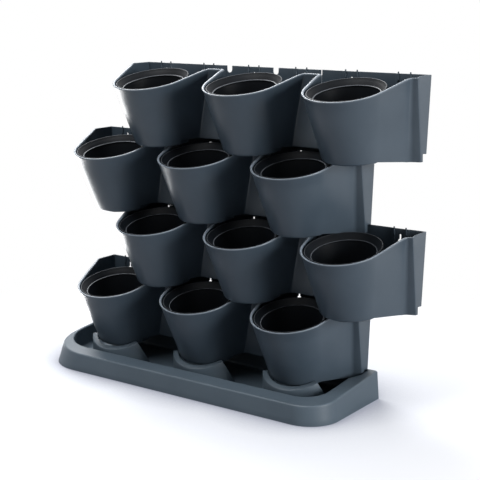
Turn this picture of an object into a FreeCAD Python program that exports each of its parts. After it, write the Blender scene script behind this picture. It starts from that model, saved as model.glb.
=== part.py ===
import FreeCAD, Part
import math
import os
import re
import Sketcher
from FreeCAD import Placement, Rotation, Vector

# Vertical planter tower: four moulded rows of three pots, stacked half a pot apart on a drip tray,
# with a loose pot insert in every pot. Millimetres, +Z up, pots towards -Y, back of the wall at the rear.
# Each row is drawn in its own frame: X from the row's middle, Y from the back of its wall,
# Z from the top of its wall.

SIZES = {
    "row_height": 122.7, "pot_pitch": 190.0, "wall_left": 280.0, "wall_right": 282.0, "wall": 2.0,
    "floor_skin": 2.5, "end_draft": 5.0, "web_depth": 50.0, "web_half": 13.0, "web_half_base": 37.0,
    "end_depth": 47.0, "end_depth_base": 16.0, "ridge_depth": 46.0, "ridge_depth_base": 15.6,
    "valley_depth": 47.5, "valley_depth_base": 21.8, "strip_width": 10.0, "strip_width_base": 16.5,
    "pot_back_inset": 10.0, "pot_back_depth": 12.0,
    "mouth_radius": 72.2, "mouth_reach": 108.7, "base_radius": 51.3, "base_reach": 65.9,
    "loft_depth": 140.0, "rim_start": 36.0, "rim_bend": 62.0, "rim_bend_drop": 5.6, "rim_slope": 15.6,
    "stack_gap": 0.7, "cup_step": 62.0, "cup_drop": 5.0, "cup_slope": 7.0, "cup_half": 54.2,
    "tip_groove_depth": 3.4, "tip_groove_gap": 1.0,
    "rib_gap": 21.3, "rib_width": 2.5, "rib_depth": 2.5, "rib_tip": 2.9, "rib_tip_gap": 0.5,
    "skirt_gap": 1.5, "skirt_wall": 2.0, "skirt_drop": 11.5, "skirt_inset": 14.0,
    "skirt_return": 16.0, "skirt_slot": 22.0,
    "key_slot_width": 3.4, "key_slot_top": 8.8, "key_drop": 21.0, "key_radius": 4.3,
    "notch_width": 11.3, "notch_depth": 11.7, "notch_left": 100.0, "notch_middle": 4.5,
    "slit_width": 1.4, "slit_depth": 9.0, "slit_place": 84.5,
    "hook_reach": 6.0, "hook_height": 3.0, "hook_drop": 1.5, "hook_thickness": 2.0,
    "drain_radius": 4.0, "drain_spread": 22.0,
    "insert_radius": 62.3, "insert_base_radius": 39.0, "insert_height": 105.5, "insert_tilt": 13.2,
    "insert_reach": 76.7, "insert_wall": 1.5, "collar_height": 7.0, "collar_radius": 54.5,
    "ledge_width": 1.8, "insert_hole_radius": 3.0, "insert_hole_spread": 20.0,
    "tray_half": 300.0, "tray_front": 186.0, "tray_height": 48.0, "tray_slope": 5.0,
    "tray_flare": 4.0, "tray_wall": 3.0, "tray_floor": 6.0, "tray_left_corner": 100.0,
    "tray_right_corner": 55.0, "basin_left": 9.0, "basin_right": 28.0, "basin_front": 36.0,
    "basin_left_corner": 75.0, "basin_right_corner": 40.0,
    "cradle_radius": 66.0, "cradle_top_half": 52.7, "cradle_base_half": 72.0, "cradle_back": 32.0,
    "cradle_clearance": 0.8, "cradle_front_drop": 15.0, "cradle_back_drop": 1.0,
}
ROWS = ("bottom_row", "lower_middle_row", "upper_middle_row", "top_row")
PLACES = ("left", "middle", "right")
DRAIN_HOLES = 5
RIB_PAIRS = 6
# How far a cutting outline reaches past the form it cuts.
REACH = 60.0

document = FreeCAD.newDocument("planter_tower")


def make_sheet():
    """Write the driving dimensions, one aliased cell each."""
    sheet = document.addObject("Spreadsheet::Sheet", "sizes")
    for line, (alias, value) in enumerate(SIZES.items(), start=1):
        sheet.set(f"A{line}", alias)
        sheet.set(f"B{line}", str(value))
        sheet.setAlias(f"B{line}", alias)
    document.recompute()
    return sheet


sizes = make_sheet()


def bound(formula):
    """A formula in the sheet's aliases, as an expression that other objects can read."""
    return re.sub(r"[a-z_]+", lambda word: f"sizes.{word[0]}" if word[0] in SIZES else word[0], formula)


def number(formula):
    """The value of such a formula now."""
    result = sizes.evalExpression(bound(str(formula)))
    return float(getattr(result, "Value", result))


def bind(thing, target, formula):
    """Tie one property of an object to a formula."""
    thing.setExpression(target, bound(str(formula)))


def plane_sketch(body, name, role, offset="0"):
    """An empty sketch on one of the body's origin planes, moved along its normal."""
    sketch = body.newObject("Sketcher::SketchObject", name)
    plane = [item for item in body.Origin.OriginFeatures if item.Role == role][0]
    sketch.AttachmentSupport = [(plane, "")]
    sketch.MapMode = "FlatFace"
    bind(sketch, "AttachmentOffset.Base.z", offset)
    return sketch


def fix_point(sketch, geometry, end, across, up):
    """Dimension one point of a sketch from its origin."""
    for kind, formula in (("DistanceX", across), ("DistanceY", up)):
        index = sketch.addConstraint(Sketcher.Constraint(kind, -1, 1, geometry, end, number(formula)))
        sketch.setExpression(f"Constraints[{index}]", bound(formula))


def polygon(body, name, role, corners, offset="0"):
    """A closed outline of straight lines through corners given as formulas."""
    sketch = plane_sketch(body, name, role, offset)
    points = [Vector(number(across), number(up), 0) for across, up in corners]
    for start, end in zip(points, points[1:] + points[:1]):
        sketch.addGeometry(Part.LineSegment(start, end), False)
    count = len(points)
    for index in range(count):
        sketch.addConstraint(Sketcher.Constraint("Coincident", index, 2, (index + 1) % count, 1))
    for index, (across, up) in enumerate(corners):
        fix_point(sketch, index, 1, across, up)
    return sketch


def pot_outline(body, name, level, centre, reach, radius, left, right):
    """A pot in plan: a round front, two flares tangent to it, and a back inside the wall channel."""
    sketch = plane_sketch(body, name, "XY_Plane", level)
    middle = Vector(number(centre), -number(reach), 0)
    round_radius = number(radius)
    corners = []
    for across, depth in (left, right):
        corners.append((across, f"0 - ( {depth} )"))
    inner = [(f"{left[0]} + pot_back_inset", "0 - pot_back_depth"),
             (f"{right[0]} - pot_back_inset", "0 - pot_back_depth")]
    left_point, right_point, left_back, right_back = (
        Vector(number(across), number(up), 0) for across, up in corners + inner)

    def touch(point, side):
        """The angle at which a line from a point touches the round front."""
        away = point - middle
        turn = side * math.acos(round_radius / away.Length)
        return math.atan2(away.y, away.x) + turn

    start = touch(left_point, 1)
    finish = touch(right_point, -1)
    if finish < start:
        finish += 2 * math.pi
    on_circle = [middle + Vector(math.cos(angle), math.sin(angle), 0) * round_radius
                 for angle in (start, finish)]
    arc = Part.ArcOfCircle(Part.Circle(middle, Vector(0, 0, 1), round_radius), start, finish)
    sketch.addGeometry(Part.LineSegment(left_point, on_circle[0]), False)
    sketch.addGeometry(arc, False)
    sketch.addGeometry(Part.LineSegment(on_circle[1], right_point), False)
    sketch.addGeometry(Part.LineSegment(right_point, right_back), False)
    sketch.addGeometry(Part.LineSegment(right_back, left_back), False)
    sketch.addGeometry(Part.LineSegment(left_back, left_point), False)
    sketch.addConstraint(Sketcher.Constraint("Tangent", 0, 2, 1, 1))
    sketch.addConstraint(Sketcher.Constraint("Tangent", 1, 2, 2, 1))
    for before, after in ((2, 3), (3, 4), (4, 5), (5, 0)):
        sketch.addConstraint(Sketcher.Constraint("Coincident", before, 2, after, 1))
    fix_point(sketch, 0, 1, *corners[0])
    fix_point(sketch, 3, 1, *corners[1])
    fix_point(sketch, 4, 1, *inner[1])
    fix_point(sketch, 5, 1, *inner[0])
    fix_point(sketch, 1, 3, centre, f"0 - ( {reach} )")
    index = sketch.addConstraint(Sketcher.Constraint("Radius", 1, round_radius))
    sketch.setExpression(f"Constraints[{index}]", bound(radius))
    return sketch


def disc(body, name, level, centre, reach, radius):
    """A circle in plan."""
    sketch = plane_sketch(body, name, "XY_Plane", level)
    middle = Vector(number(centre), -number(reach), 0)
    sketch.addGeometry(Part.Circle(middle, Vector(0, 0, 1), number(radius)), False)
    fix_point(sketch, 0, 3, centre, f"0 - ( {reach} )")
    index = sketch.addConstraint(Sketcher.Constraint("Radius", 0, number(radius)))
    sketch.setExpression(f"Constraints[{index}]", bound(radius))
    return sketch


def loft(body, name, lower, upper):
    """A ruled solid between two sketches."""
    feature = body.newObject("PartDesign::AdditiveLoft", name)
    feature.Profile = lower
    feature.Sections = [upper]
    feature.Ruled = True
    lower.Visibility = False
    return feature


def side_cut(body, name, corners):
    """Cut a side-view outline, given as (y, z) formulas, right across the body."""
    document.recompute()
    before = body.Shape.Volume
    sketch = polygon(body, f"{name}_outline", "YZ_Plane", corners)
    pocket = body.newObject("PartDesign::Pocket", name)
    pocket.Profile = sketch
    pocket.Midplane = True
    pocket.Type = 0
    bind(pocket, "Length", "4 * wall_right")
    document.recompute()
    if not body.Shape.Volume < before:
        raise RuntimeError(f"{name} cuts nothing")
    return pocket


def at_depth(top, base, depth):
    """A size part of the way down from the mouth to the base of the pots."""
    return f"( {top} + ( {base} - {top} ) * {depth} / loft_depth )"


def channel(body, skin):
    """The row's wall channel in plan, from the wall's top down, set in by a skin.

    Its ends get shallower downwards. The right one has a ridge with a narrow strip in front of it,
    which meets the last pot's flare in a valley.
    """
    sections = []
    for name, level, draft, base in (
            ("top", "0", "0", ""), ("base", "0 - loft_depth", "end_draft", "_base")):
        left = f"( 0 - wall_left + {draft} + {skin} )"
        right = f"( wall_right - {draft} - {skin} )"
        web = f"( 0 - web_depth + {skin} )"
        corners = [
            (left, f"0 - {skin}"),
            (left, f"0 - end_depth{base} + {skin}"),
            ("0 - pot_pitch", web),
            ("pot_pitch", web),
            (f"{right} - strip_width{base}", f"0 - valley_depth{base} + {skin}"),
            (right, f"0 - ridge_depth{base} + {skin}"),
            (right, f"0 - {skin}"),
        ]
        sections.append(polygon(body, f"channel_{name}", "XY_Plane", corners, level))
    return loft(body, "channel", sections[1], sections[0])


def pots(body, skin):
    """Three flared pots joined to the channel, set in by a skin."""
    for place, step in zip(PLACES, (-1, 0, 1)):
        centre = f"( {step} * pot_pitch )"
        sections = []
        for name, level, radius, reach, draft, base in (
                ("mouth", "0", "mouth_radius", "mouth_reach", "0", ""),
                ("foot", "0 - loft_depth", "base_radius", "base_reach", "end_draft", "_base")):
            web = f"web_half{base}"
            left = [f"( {centre} - pot_pitch / 2 + {web} + {skin} )", f"web_depth - {skin}"]
            right = [f"( {centre} + pot_pitch / 2 - {web} - {skin} )", f"web_depth - {skin}"]
            if step < 0:
                left = [f"( 0 - wall_left + {draft} + {skin} )", f"end_depth{base} - {skin}"]
            if step > 0:
                right = [f"( wall_right - {draft} - {skin} - strip_width{base} )",
                         f"valley_depth{base} - {skin}"]
            sections.append(pot_outline(body, f"{place}_{name}", level, centre, reach,
                                        f"{radius} - {skin}", left, right))
        loft(body, f"{place}_pot", sections[1], sections[0])


def front_cut(body, name, outlines):
    """Cut front-view outlines, given as lists of (x, z) formulas, right through the body."""
    document.recompute()
    before = body.Shape.Volume
    for index, corners in enumerate(outlines):
        pocket = body.newObject("PartDesign::Pocket", f"{name}_{index}")
        pocket.Profile = polygon(body, f"{name}_outline_{index}", "XZ_Plane", corners)
        pocket.Midplane = True
        pocket.Type = 0
        bind(pocket, "Length", "6 * mouth_reach")
        document.recompute()
    if not body.Shape.Volume < before:
        raise RuntimeError(f"{name} cuts nothing")


def trim_between_cups(body, skin, level):
    """Cut the flares and webs off below a level, so that only the round feet reach lower."""
    half = f"( cup_half - {skin} )"
    outer = "( wall_right + pot_pitch )"
    low = f"{level} - {REACH}"
    runs = [(f"0 - {outer}", f"0 - pot_pitch - {half}"), (f"0 - pot_pitch + {half}", f"0 - {half}"),
            (half, f"pot_pitch - {half}"), (f"pot_pitch + {half}", outer)]
    front_cut(body, "between_cups", [
        [(left, low), (right, low), (right, level), (left, level)] for left, right in runs])


def row_outside(name):
    """The outer form of a row as one solid."""
    body = document.addObject("PartDesign::Body", f"{name}_outside")
    channel(body, "0")
    pots(body, "0")
    far = "( 2 * mouth_reach )"
    underside = "( 0 - row_height + stack_gap )"
    step_z = "( 0 - row_height - cup_drop )"
    groove = f"( {underside} + tip_groove_depth )"
    groove_y = "( 0 - wall - rib_depth - tip_groove_gap )"
    side_cut(body, "foot_cut", [
        (far, f"{step_z} - {REACH}"), (f"0 - {far}", f"{step_z} - {REACH}"),
        (f"0 - {far}", f"{step_z} - ( {far} - cup_step ) * tan( cup_slope )"),
        ("0 - cup_step", step_z), ("0 - cup_step", underside), (groove_y, underside),
        (groove_y, groove), ("0 - wall", groove), ("0 - wall", "0 - row_height"),
        (far, "0 - row_height")])
    trim_between_cups(body, "0", underside)
    side_cut(body, "rim_cut", [
        ("0 - rim_start", "0"), ("0 - rim_start", f"{REACH}"), (f"0 - {far}", f"{REACH}"),
        (f"0 - {far}", f"0 - rim_bend_drop - ( {far} - rim_bend ) * tan( rim_slope )"),
        ("0 - rim_bend", "0 - rim_bend_drop")])
    return body


def row_inside(name):
    """The hollow of a row as one solid."""
    body = document.addObject("PartDesign::Body", f"{name}_inside")
    channel(body, "wall")
    pots(body, "wall")
    far = "( 2 * mouth_reach )"
    level = "( 0 - row_height + stack_gap + floor_skin )"
    step_y = "( 0 - cup_step - wall )"
    step_z = "( 0 - row_height - cup_drop + floor_skin - wall * tan( cup_slope ) )"
    groove_y = "( 0 - wall - rib_depth - tip_groove_gap - floor_skin )"
    groove = f"( {level} + tip_groove_depth )"
    side_cut(body, "pot_floor_cut", [
        (far, f"{step_z} - {REACH}"), (f"0 - {far}", f"{step_z} - {REACH}"),
        (f"0 - {far}", f"{step_z} - ( {far} - cup_step - wall ) * tan( cup_slope )"),
        (step_y, step_z), (step_y, level), (groove_y, level), (groove_y, groove), (far, groove)])
    trim_between_cups(body, "wall", level)
    return body


def block(name, spans):
    """A box from (low, high) formulas along X, Y and Z."""
    box = document.addObject("Part::Box", name)
    for axis, side, (low, high) in zip("xyz", ("Length", "Width", "Height"), spans):
        bind(box, f"Placement.Base.{axis}", low)
        bind(box, side, f"( {high} ) - ( {low} )")
    return box


def drum(name, radius, height, place, turn=None):
    """A cylinder whose foot stands at a place given as formulas."""
    cylinder = document.addObject("Part::Cylinder", name)
    bind(cylinder, "Radius", radius)
    bind(cylinder, "Height", height)
    if turn is not None:
        cylinder.Placement.Rotation = turn
    for axis, formula in zip("xyz", place):
        bind(cylinder, f"Placement.Base.{axis}", formula)
    return cylinder


def rib_pair_places():
    """Middles of the rib pairs, half a pot pitch apart."""
    return [f"( {index} - {(RIB_PAIRS - 1) / 2} ) * pot_pitch / 2" for index in range(RIB_PAIRS)]


def row_additions(name):
    """Ribs on the wall, the skirt that hangs into the row below, and the hook on the left end."""
    parts = []
    for index, middle in enumerate(rib_pair_places()):
        for side in (-1, 1):
            centre = f"( {middle} + {side} * rib_gap / 2 )"
            across = (f"{centre} - rib_width / 2", f"{centre} + rib_width / 2")
            parts.append(block(f"{name}_rib_{index}_{side + 1}", [
                across, ("0 - wall - rib_depth", "0 - wall / 2"),
                ("0 - row_height + tip_groove_depth + 2 * floor_skin", "0")]))
            parts.append(block(f"{name}_rib_tip_{index}_{side + 1}", [
                across, ("0 - wall - rib_depth", "0 - wall - rib_tip_gap"), ("0 - wall", "rib_tip")]))
    back = "( 0 - wall - rib_depth - skirt_gap )"
    foot = "0 - row_height - skirt_drop"
    head = "0 - row_height + stack_gap + floor_skin / 2"
    stop = "( wall_left - skirt_inset )"
    slot = "( wall_left - pot_pitch / 2 )"
    runs = [(f"0 - {stop}", f"0 - {slot} - skirt_slot / 2"),
            (f"0 - {slot} + skirt_slot / 2", f"{slot} - skirt_slot / 2"),
            (f"{slot} + skirt_slot / 2", stop)]
    for index, (low, high) in enumerate(runs):
        parts.append(block(f"{name}_skirt_{index}", [
            (low, high), (f"{back} - skirt_wall", back), (foot, head)]))
    for side, (low, high) in (("left", (f"0 - {stop}", f"0 - {stop} + skirt_wall")),
                              ("right", (f"{stop} - skirt_wall", stop))):
        parts.append(block(f"{name}_skirt_{side}", [
            (low, high), ("0 - skirt_return", f"{back} - skirt_wall / 2"), (foot, head)]))
    parts.append(block(f"{name}_hook", [
        ("0 - wall_left - hook_reach", "0 - wall_left + wall"),
        ("0 - end_depth / 2 - hook_thickness", "0 - end_depth / 2"),
        ("0 - hook_drop - hook_height", "0 - hook_drop")]))
    return parts


def row_openings(name):
    """Keyholes and notches in the wall, and drain holes in the pot floors."""
    parts = []
    forward = Rotation(Vector(1, 0, 0), 90)
    for index, middle in enumerate(rib_pair_places()):
        parts.append(drum(f"{name}_key_{index}", "key_radius", "3 * wall",
                          (middle, "wall", "0 - key_drop"), forward))
        parts.append(block(f"{name}_key_slot_{index}", [
            (f"{middle} - key_slot_width / 2", f"{middle} + key_slot_width / 2"),
            ("0 - 2 * wall", "wall"), ("0 - key_drop", "0 - key_slot_top")]))
    for index, middle in enumerate(("notch_left", "notch_middle")):
        round_z = "0 - notch_depth + notch_width / 2"
        parts.append(block(f"{name}_notch_{index}", [
            (f"0 - {middle} - notch_width / 2", f"0 - {middle} + notch_width / 2"),
            ("0 - 2 * wall", "wall"), (round_z, "rib_tip")]))
        parts.append(drum(f"{name}_notch_round_{index}", "notch_width / 2", "3 * wall",
                          (f"0 - {middle}", "wall", round_z), forward))
    parts.append(block(f"{name}_slit", [
        ("slit_place - slit_width / 2", "slit_place + slit_width / 2"),
        ("0 - 2 * wall", "wall"), ("0 - slit_depth", "rib_tip")]))
    for place, step in zip(PLACES, (-1, 0, 1)):
        for index in range(DRAIN_HOLES):
            angle = 90 + 360 / DRAIN_HOLES * index
            parts.append(drum(f"{name}_{place}_drain_{index}", "drain_radius", "4 * cup_drop", (
                f"{step} * pot_pitch + drain_spread * cos( {angle} )",
                f"0 - insert_reach - 2 * drain_radius + drain_spread * sin( {angle} )",
                "0 - row_height - 3 * cup_drop")))
    return parts


def join(kind, name, parts):
    """A boolean of several solids."""
    result = document.addObject(kind, name)
    if kind == "Part::Cut":
        result.Base, result.Tool = parts
    else:
        result.Shapes = parts
    return result


def make_row(name, level, middle):
    """One moulded row, placed with its wall top at a level and its middle across."""
    shell = join("Part::Cut", f"{name}_shell", [row_outside(name), row_inside(name)])
    ribbed = join("Part::MultiFuse", f"{name}_ribbed", [shell] + row_additions(name))
    holes = join("Part::MultiFuse", f"{name}_holes", row_openings(name))
    row = join("Part::Cut", name, [ribbed, holes])
    row.Label = name
    bind(row, "Placement.Base.x", middle)
    bind(row, "Placement.Base.y", "tray_front / 2")
    bind(row, "Placement.Base.z", level)
    return row


def make_insert(name, row_level, middle):
    """One loose pot: a turned cup with a wide collar and drain holes, leaning forward in its pot."""
    body = document.addObject("PartDesign::Body", name)
    body.Label = name
    neck = "( collar_radius - ledge_width )"
    shoulder = "( insert_height - collar_height )"
    profile = polygon(body, "profile", "XZ_Plane", [
        ("0", "0"),
        ("insert_base_radius", "0"),
        (f"{neck} + insert_wall", f"{shoulder} - insert_wall"),
        ("collar_radius + insert_wall", f"{shoulder} - insert_wall"),
        ("insert_radius", "insert_height - 2 * insert_wall"),
        ("insert_radius", "insert_height"),
        ("insert_radius - insert_wall", "insert_height"),
        ("collar_radius", shoulder),
        (neck, shoulder),
        ("insert_base_radius - insert_wall", "insert_wall"),
        ("0", "insert_wall")])
    cup = body.newObject("PartDesign::Revolution", "cup")
    cup.Profile = profile
    cup.ReferenceAxis = (profile, ["V_Axis"])
    cup.Angle = 360
    hole_outline = disc(body, "hole_outline", "0", "insert_hole_spread", "0", "insert_hole_radius")
    hole = body.newObject("PartDesign::Pocket", "drain_hole")
    hole.Profile = hole_outline
    hole.Midplane = True
    bind(hole, "Length", "6 * insert_wall")
    holes = body.newObject("PartDesign::PolarPattern", "drain_holes")
    holes.Originals = [hole]
    holes.Axis = (hole_outline, ["N_Axis"])
    holes.Angle = 360
    holes.Occurrences = DRAIN_HOLES
    body.Tip = holes
    seat = "( 0 - row_height + stack_gap + floor_skin )"
    body.Placement = Placement(Vector(), Rotation(Vector(1, 0, 0), number("insert_tilt")))
    bind(body, "Placement.Rotation.Angle", "insert_tilt")
    bind(body, "Placement.Base.x", middle)
    bind(body, "Placement.Base.y", "tray_front / 2 - insert_reach")
    bind(body, "Placement.Base.z",
         f"{row_level} + {seat} - ( insert_reach - cup_step - wall ) * tan( insert_tilt )")
    return body


def tray_outline(body, name, level, left, right, front, back, left_corner, right_corner):
    """The tray in plan: square at the wall, round at the two front corners."""
    sketch = plane_sketch(body, name, "XY_Plane", level)
    edges = (f"0 - {left}", right, f"0 - {front}", f"0 - {back}")
    low_x, high_x, low_y, high_y = (number(value) for value in edges)
    left_radius, right_radius = number(left_corner), number(right_corner)
    up = Vector(0, 0, 1)
    left_centre = Vector(low_x + left_radius, low_y + left_radius, 0)
    right_centre = Vector(high_x - right_radius, low_y + right_radius, 0)
    left_round = Part.ArcOfCircle(Part.Circle(left_centre, up, left_radius), math.pi, 1.5 * math.pi)
    right_round = Part.ArcOfCircle(Part.Circle(right_centre, up, right_radius), 1.5 * math.pi, 2 * math.pi)
    corners = [
        Vector(low_x, high_y, 0), Vector(low_x, left_centre.y, 0), Vector(left_centre.x, low_y, 0),
        Vector(right_centre.x, low_y, 0), Vector(high_x, right_centre.y, 0), Vector(high_x, high_y, 0)]
    sketch.addGeometry(Part.LineSegment(corners[0], corners[1]), False)
    sketch.addGeometry(left_round, False)
    sketch.addGeometry(Part.LineSegment(corners[2], corners[3]), False)
    sketch.addGeometry(right_round, False)
    sketch.addGeometry(Part.LineSegment(corners[4], corners[5]), False)
    sketch.addGeometry(Part.LineSegment(corners[5], corners[0]), False)
    for before, after in ((0, 1), (1, 2), (2, 3), (3, 4)):
        sketch.addConstraint(Sketcher.Constraint("Tangent", before, 2, after, 1))
    for before, after in ((4, 5), (5, 0)):
        sketch.addConstraint(Sketcher.Constraint("Coincident", before, 2, after, 1))
    for line in (0, 4):
        sketch.addConstraint(Sketcher.Constraint("Vertical", line))
    for line in (2, 5):
        sketch.addConstraint(Sketcher.Constraint("Horizontal", line))
    fix_point(sketch, 0, 1, f"0 - {left}", f"0 - {back}")
    for kind, geometry, end, formula in (("DistanceX", 4, 2, right), ("DistanceY", 2, 1, f"0 - {front}")):
        index = sketch.addConstraint(Sketcher.Constraint(kind, -1, 1, geometry, end, number(formula)))
        sketch.setExpression(f"Constraints[{index}]", bound(formula))
    for geometry, formula in ((1, left_corner), (3, right_corner)):
        index = sketch.addConstraint(Sketcher.Constraint("Radius", geometry, number(formula)))
        sketch.setExpression(f"Constraints[{index}]", bound(formula))
    return sketch


def tray_form(name, skin, foot):
    """The tray's outer form, set in by a skin, from a foot level up to its sloping top."""
    body = document.addObject("PartDesign::Body", name)
    sections = []
    for level_name, level, flare in (("foot", foot, "0"), ("head", "tray_height", "tray_flare")):
        side = f"( tray_half - {flare} - {skin} )"
        front = f"( tray_front - {flare} - {skin} )"
        sections.append(tray_outline(
            body, f"{name}_{level_name}", level, side, side, front, f"( {skin} )",
            f"tray_left_corner - {skin}", f"tray_right_corner - {skin}"))
    loft(body, f"{name}_loft", sections[0], sections[1])
    document.recompute()
    top = f"( tray_height - {skin} )"
    side_cut(body, f"{name}_top", [
        ("0", top), ("0", f"{top} + {REACH}"), ("0 - 2 * tray_front", f"{top} + {REACH}"),
        ("0 - 2 * tray_front", f"{top} - 2 * tray_front * tan( tray_slope )")])
    return body


def basin_form(name, skin, floor):
    """The tray's basin, grown by a skin, from its floor to above the rim."""
    body = document.addObject("PartDesign::Body", name)
    sections = []
    for level_name, level in (("floor", floor), ("mouth", "( tray_height + tray_wall )")):
        sections.append(tray_outline(
            body, f"{name}_{level_name}", level, f"( tray_half - basin_left + {skin} )",
            f"( tray_half - basin_right + {skin} )", f"( tray_front - basin_front + {skin} )",
            f"( tray_wall - {skin} )", f"basin_left_corner + {skin}", f"basin_right_corner + {skin}"))
    loft(body, f"{name}_loft", sections[0], sections[1])
    return body


def cradle_wedge(name, centre):
    """The side shape of one cradle: a wedge with flared ends and a top that drops to the front."""
    body = document.addObject("PartDesign::Body", name)
    outline = polygon(body, f"{name}_outline", "XZ_Plane", [
        (f"{centre} - cradle_base_half", "tray_floor / 2"),
        (f"{centre} + cradle_base_half", "tray_floor / 2"),
        (f"{centre} + cradle_top_half", "tray_height"),
        (f"{centre} - cradle_top_half", "tray_height")])
    pad = body.newObject("PartDesign::Pad", f"{name}_pad")
    pad.Profile = outline
    bind(pad, "Length", "base_reach + 2 * cradle_radius")
    document.recompute()
    back_y = "( 0 - base_reach - cradle_back )"
    front_y = "( 0 - base_reach - cradle_radius )"
    side_cut(body, f"{name}_top", [
        ("0", "tray_height - cradle_back_drop"), ("0", f"tray_height + {REACH}"),
        (f"2 * {front_y}", f"tray_height + {REACH}"),
        (f"2 * {front_y}", "tray_height - cradle_front_drop"),
        (front_y, "tray_height - cradle_front_drop"), (back_y, "tray_height - cradle_back_drop")])
    side_cut(body, f"{name}_back", [
        ("2 * base_reach", "0 - tray_floor"), (back_y, "0 - tray_floor"), (back_y, f"tray_height + {REACH}"),
        ("2 * base_reach", f"tray_height + {REACH}")])
    return body


def pot_space(name, centre):
    """The space that a pot's foot takes, with its clearance, in the tray's frame."""
    body = document.addObject("PartDesign::Body", name)
    level = "( tray_height + row_height )"
    sections = []
    for part, depth in (("low", "loft_depth"), ("high", "( row_height - tray_height )")):
        sections.append(disc(body, f"{name}_{part}", f"{level} - {depth}", centre,
                             at_depth("mouth_reach", "base_reach", depth),
                             f"{at_depth('mouth_radius', 'base_radius', depth)} + cradle_clearance"))
    loft(body, f"{name}_loft", sections[0], sections[1])
    document.recompute()
    base = "( tray_height - cup_drop - cradle_clearance )"
    side_cut(body, f"{name}_base", [
        ("0", f"{base} - {REACH}"), ("0 - 2 * mouth_reach", f"{base} - {REACH}"),
        ("0 - 2 * mouth_reach", f"{base} - ( 2 * mouth_reach - cup_step ) * tan( cup_slope )"),
        ("0", f"{base} + cup_step * tan( cup_slope )")])
    return body


def make_tray(name, middle):
    """The drip tray: a hollow skirt with a sloping rim, a basin and three cradles."""
    under = join("Part::Cut", "tray_under", [
        tray_form("tray_inner_form", "tray_wall", "0"), basin_form("basin_outer", "tray_wall", "0")])
    skin = join("Part::Cut", "tray_skin", [tray_form("tray_outer_form", "0", "0"), under])
    bowl = join("Part::Cut", "tray_bowl", [skin, basin_form("basin_inner", "0", "tray_floor")])
    seats = []
    for index, step in enumerate((-1, 0, 1)):
        seat_name = f"cradle_{index}"
        centre = f"( {step} * pot_pitch )"
        ring = drum(f"{seat_name}_round", "cradle_radius", "2 * tray_height",
                    (centre, "0 - base_reach", "tray_floor / 2"))
        crescent = join("Part::MultiCommon", f"{seat_name}_crescent",
                        [ring, cradle_wedge(f"{seat_name}_wedge", centre)])
        seats.append(join("Part::Cut", seat_name, [crescent, pot_space(f"{seat_name}_space", centre)]))
    tray = join("Part::MultiFuse", name, [bowl] + seats)
    tray.Label = name
    bind(tray, "Placement.Base.x", middle)
    bind(tray, "Placement.Base.y", "tray_front / 2")
    return tray


def make_all():
    """Every sub-part of the tower, in the tower's own frame."""
    lower_middle = "( tray_half / 2 - pot_pitch / 4 - wall_right / 2 )"
    parts = [make_tray("drip_tray", lower_middle)]
    for count, row_name in enumerate(ROWS, start=1):
        level = f"( tray_height + {count} * row_height )"
        middle = lower_middle if count % 2 else f"( {lower_middle} + pot_pitch / 2 )"
        parts.append(make_row(row_name, level, middle))
        for place, step in zip(PLACES, (-1, 0, 1)):
            parts.append(make_insert(f"{row_name}_{place}_insert", level, f"{middle} + {step} * pot_pitch"))
    return parts


def check(parts):
    """Stop if anything in the document failed or a sub-part isn't a sound solid."""
    for thing in document.Objects:
        if "Invalid" in thing.State or "Error" in thing.State:
            raise RuntimeError(f"{thing.Name} is {thing.State}")
    for part in parts:
        if part.Shape.isNull() or not part.Shape.isValid():
            raise RuntimeError(f"{part.Label} isn't sound")
        print(part.Label, len(part.Shape.Solids), "solids", round(part.Shape.Volume / 1000, 1), "cm3")


def main():
    """Build, check and write the tower."""
    parts = make_all()
    document.recompute()
    check(parts)
    os.makedirs("parts", exist_ok=True)
    for part in parts:
        part.Shape.exportStep(f"parts/{part.Label}.step")


main()
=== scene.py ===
import logging
import math
from dataclasses import dataclass, replace
from enum import Enum

import bmesh
import bpy
from mathutils import Matrix, Vector


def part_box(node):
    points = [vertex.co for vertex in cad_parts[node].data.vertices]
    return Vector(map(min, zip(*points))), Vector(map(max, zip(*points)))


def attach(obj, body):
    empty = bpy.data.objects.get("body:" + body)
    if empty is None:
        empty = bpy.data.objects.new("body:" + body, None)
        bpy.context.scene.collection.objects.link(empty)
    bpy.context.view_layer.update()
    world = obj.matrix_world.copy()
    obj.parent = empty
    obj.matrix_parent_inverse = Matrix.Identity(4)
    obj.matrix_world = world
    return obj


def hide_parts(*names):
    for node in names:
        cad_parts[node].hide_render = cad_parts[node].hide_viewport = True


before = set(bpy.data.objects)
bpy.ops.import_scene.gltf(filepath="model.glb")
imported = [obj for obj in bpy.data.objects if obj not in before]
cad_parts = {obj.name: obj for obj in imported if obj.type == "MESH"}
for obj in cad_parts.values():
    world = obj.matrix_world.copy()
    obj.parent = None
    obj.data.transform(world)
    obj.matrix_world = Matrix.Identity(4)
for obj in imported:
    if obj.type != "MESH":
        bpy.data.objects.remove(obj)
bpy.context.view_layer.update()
log = logging.getLogger("planter_tower")

MM = 0.001
SMOOTH_ANGLE = math.radians(32.0)
DRAIN_HOLES = 5
ROW_NODES = ("bottom_row", "lower_middle_row", "upper_middle_row", "top_row")
PLACES = ("left", "middle", "right")
Point = tuple[float, float, float]
Flat = tuple[float, float]
Colour = tuple[float, float, float, float]


class Slot(Enum):
    """The record's material slots."""

    ROW = "row_plastic"
    TRAY = "tray_plastic"
    INSERT = "insert_plastic"


def mix(low: float, high: float, share: float) -> float:
    """Value a share of the way from low to high."""
    return low + (high - low) * share


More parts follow.
